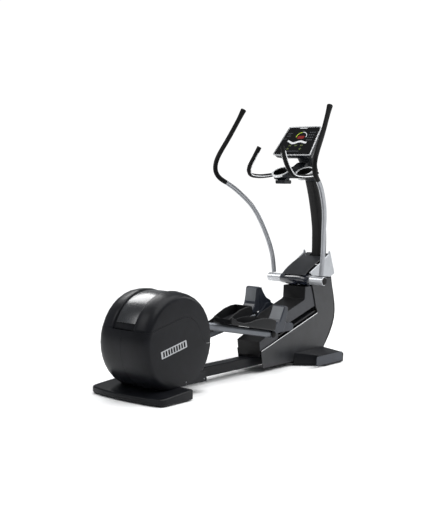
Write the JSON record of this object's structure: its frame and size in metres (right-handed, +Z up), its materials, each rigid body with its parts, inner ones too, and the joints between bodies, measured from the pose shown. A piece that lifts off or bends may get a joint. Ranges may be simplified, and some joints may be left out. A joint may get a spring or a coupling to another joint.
{
  "type": "elliptical trainer",
  "caption": "Elliptical trainer with a rear drum drive, pedals on arms that slide in an inclined tower slot, swinging arm levers, fixed handlebars and a console on a mast.",
  "frame": {"origin": "on the floor, under the centre of the whole machine's bounding box", "axes": "+X towards the console end, +Y to the machine's left, +Z up"},
  "size_m": [2.049, 0.7962, 1.745],
  "materials": {
    "charcoal_moulding": "fine moulded grain",
    "gloss_channel": "polished moulding",
    "satin_grey_panel": "satin moulding",
    "insert_panel": "satin moulding",
    "dark_cover": "fine moulded grain",
    "mast_paint": "satin powder coat",
    "bright_silver": "satin anodised",
    "boss_gloss": "polished moulding",
    "painted_steel": "powder coat",
    "cast_iron": "machined",
    "black_rubber": "moulded",
    "grey_aluminium": "satin anodised tube",
    "trolley_paint": "satin paint on a casting",
    "pedal_plastic": "ribbed moulding",
    "black_glass": "glossy back-printed sheet",
    "key_plastic": "moulded key cap"
  },
  "bodies": {
    "frame": {"rear_base_plate": "charcoal_moulding", "rear_pad_left": "black_rubber", "rear_pad_right": "black_rubber", "front_pad_left": "black_rubber", "front_pad_right": "black_rubber", "main_beam": "painted_steel", "front_cross_foot": "charcoal_moulding", "tower_post": "painted_steel", "rail_left": "painted_steel", "rail_right": "painted_steel", "lever_axle": "painted_steel", "tower_side_left": "satin_grey_panel", "tower_side_right": "satin_grey_panel", "tower_insert_left": "insert_panel", "tower_insert_right": "insert_panel", "spine_cover": "dark_cover", "nose_cover": "dark_cover", "hood": "dark_cover", "wing_left": "bright_silver", "wing_right": "bright_silver", "axle_boss": "boss_gloss", "mast": "mast_paint", "neck_shroud": "dark_cover", "drum_upper_cap": "charcoal_moulding", "drum_lower_left": "charcoal_moulding", "drum_lower_right": "charcoal_moulding", "drum_channel_panel": "gloss_channel", "rear_frame": "painted_steel", "drive_belt": "black_rubber", "console_housing": "dark_cover", "console_face": "black_glass", "accessory_tray": "bright_silver", "reader_pod": "charcoal_moulding", "handlebar_left": "mast_paint", "handlebar_right": "mast_paint", "sensor_grip_left": "black_rubber", "sensor_grip_right": "black_rubber"},
    "crank": {"crankshaft": "painted_steel", "crank_arm_left": "painted_steel", "crank_arm_right": "painted_steel", "drive_pulley": "cast_iron"},
    "flywheel_shaft": {"flywheel": "cast_iron"},
    "lever_left": {"lever_hub_left": "bright_silver", "lever_tube_left": "grey_aluminium", "lever_grip_left": "black_rubber"},
    "lever_right": {"lever_hub_right": "bright_silver", "lever_tube_right": "grey_aluminium", "lever_grip_right": "black_rubber"},
    "trolley_carriage_left": {"trolley_left": "trolley_paint"},
    "trolley_carriage_right": {"trolley_right": "trolley_paint"},
    "roller_wheel_left": {"roller_left": "black_rubber"},
    "roller_wheel_right": {"roller_right": "black_rubber"},
    "pedal_left": {"pedal_arm_left": "grey_aluminium", "footplate_left": "pedal_plastic", "toe_plate_left": "pedal_plastic"},
    "pedal_right": {"pedal_arm_right": "grey_aluminium", "footplate_right": "pedal_plastic", "toe_plate_right": "pedal_plastic"},
    "start_button": {"start_key": "key_plastic"},
    "stop_button": {"stop_key": "key_plastic"}
  },
  "joints": [
    {"name": "crank_turn", "type": "hinge", "parent": "frame", "child": "crank", "pos_m": [-0.729, 0, 0.316], "axis": [0, 1, 0], "continuous": true},
    {"name": "flywheel_spin", "type": "hinge", "parent": "frame", "child": "flywheel_shaft", "pos_m": [-0.85, 0, 0.175], "axis": [0, 1, 0], "continuous": true},
    {"name": "trolley_right_slide", "type": "slide", "parent": "frame", "child": "trolley_carriage_right", "axis": [0.9598, 0, 0.2807], "range_m": [-0.07145, 0.31405]},
    {"name": "trolley_left_slide", "type": "slide", "parent": "frame", "child": "trolley_carriage_left", "axis": [0.9598, 0, 0.2807], "range_m": [-0.31405, 0.07145]},
    {"name": "pedal_right_pitch", "type": "hinge", "parent": "trolley_carriage_right", "child": "pedal_right", "pos_m": [0.17598, 0, 0.26166], "axis": [0, 1, 0], "range_deg": [-5.2, 1.4]},
    {"name": "pedal_left_pitch", "type": "hinge", "parent": "trolley_carriage_left", "child": "pedal_left", "pos_m": [0.40882, 0, 0.32975], "axis": [0, 1, 0], "range_deg": [-1.4, 5.2]},
    {"name": "lever_right_swing", "type": "hinge", "parent": "frame", "child": "lever_right", "pos_m": [0.674, 0, 0.571], "axis": [0, 1, 0], "range_deg": [-8.4, 2.1]},
    {"name": "lever_left_swing", "type": "hinge", "parent": "frame", "child": "lever_left", "pos_m": [0.674, 0, 0.571], "axis": [0, 1, 0], "range_deg": [-2.1, 8.4]},
    {"name": "roller_right_spin", "type": "hinge", "parent": "trolley_carriage_right", "child": "roller_wheel_right", "pos_m": [0.44858, 0, 0.27536], "axis": [0, 1, 0], "continuous": true},
    {"name": "roller_left_spin", "type": "hinge", "parent": "trolley_carriage_left", "child": "roller_wheel_left", "pos_m": [0.68142, 0, 0.34345], "axis": [0, 1, 0], "continuous": true},
    {"name": "start_key_press", "type": "slide", "parent": "frame", "child": "start_button", "axis": [0.7615, 0, -0.6481], "range_m": [0, 0.0012], "stiffness_N_per_m": 300, "springref_m": -0.0003},
    {"name": "stop_key_press", "type": "slide", "parent": "frame", "child": "stop_button", "axis": [0.7615, 0, -0.6481], "range_m": [0, 0.0012], "stiffness_N_per_m": 300, "springref_m": -0.0003}
  ],
  "couplings": [
    {"joint": "flywheel_spin", "follows": "crank_turn", "ratio": 6},
    {"joint": "trolley_left_slide", "follows": "trolley_right_slide", "ratio": -1},
    {"joint": "pedal_right_pitch", "follows": "trolley_right_slide", "rad_per_m": -0.27479},
    {"joint": "pedal_left_pitch", "follows": "trolley_right_slide", "rad_per_m": 0.27479},
    {"joint": "lever_right_swing", "follows": "trolley_right_slide", "rad_per_m": -0.45},
    {"joint": "lever_left_swing", "follows": "trolley_right_slide", "rad_per_m": 0.45}
  ]
}
